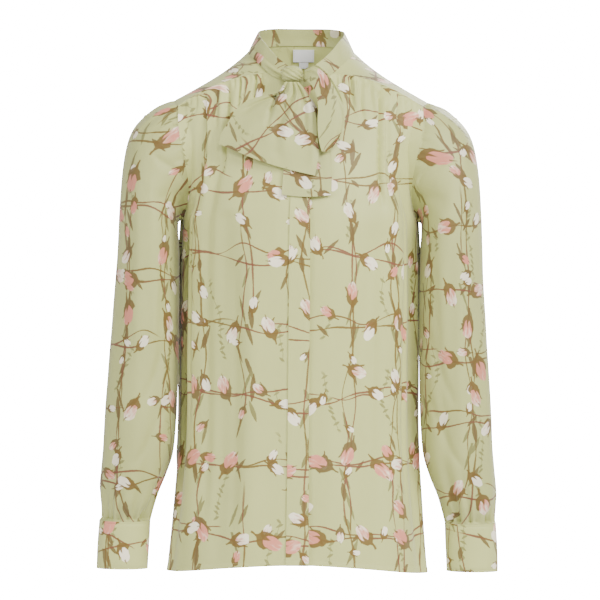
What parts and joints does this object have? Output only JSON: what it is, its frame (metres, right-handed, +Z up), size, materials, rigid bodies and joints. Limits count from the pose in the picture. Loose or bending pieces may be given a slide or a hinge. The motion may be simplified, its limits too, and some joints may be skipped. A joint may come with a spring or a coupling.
{
  "type": "blouse",
  "caption": "Silk blouse in its worn, filled form: hollow body and gathered long sleeves, neckband with a tied bow, hidden fly front, buttoned cuffs.",
  "frame": {"origin": "centre of the neck opening, level with the side points of the neck seam", "axes": "+Z up, -Y towards the front of the blouse, +X towards the wearer's left"},
  "size_m": [0.5594, 0.2428, 0.7672],
  "materials": {
    "back": "satin",
    "bow_back_tail": "satin",
    "bow_front_tail": "satin",
    "bow_knot": "satin",
    "bow_loop": "satin",
    "cuff_button_left": "gloss",
    "cuff_button_right": "gloss",
    "cuff_left": "satin",
    "cuff_right": "satin",
    "fly_placket": "satin",
    "front_left": "satin",
    "front_right": "satin",
    "neck_label": "matte",
    "neckband": "satin",
    "size_tab": "matte",
    "sleeve_left": "satin",
    "sleeve_right": "satin",
    "tie_wrap": "satin",
    "yoke": "satin"
  },
  "bodies": {
    "root": {"back": "back", "bow_back_tail": "bow_back_tail", "bow_front_tail": "bow_front_tail", "bow_knot": "bow_knot", "bow_loop": "bow_loop", "cuff_button_left": "cuff_button_left", "cuff_button_right": "cuff_button_right", "cuff_left": "cuff_left", "cuff_right": "cuff_right", "fly_placket": "fly_placket", "front_left": "front_left", "front_right": "front_right", "neck_label": "neck_label", "neckband": "neckband", "size_tab": "size_tab", "sleeve_left": "sleeve_left", "sleeve_right": "sleeve_right", "tie_wrap": "tie_wrap", "yoke": "yoke"}
  },
  "joints": []
}
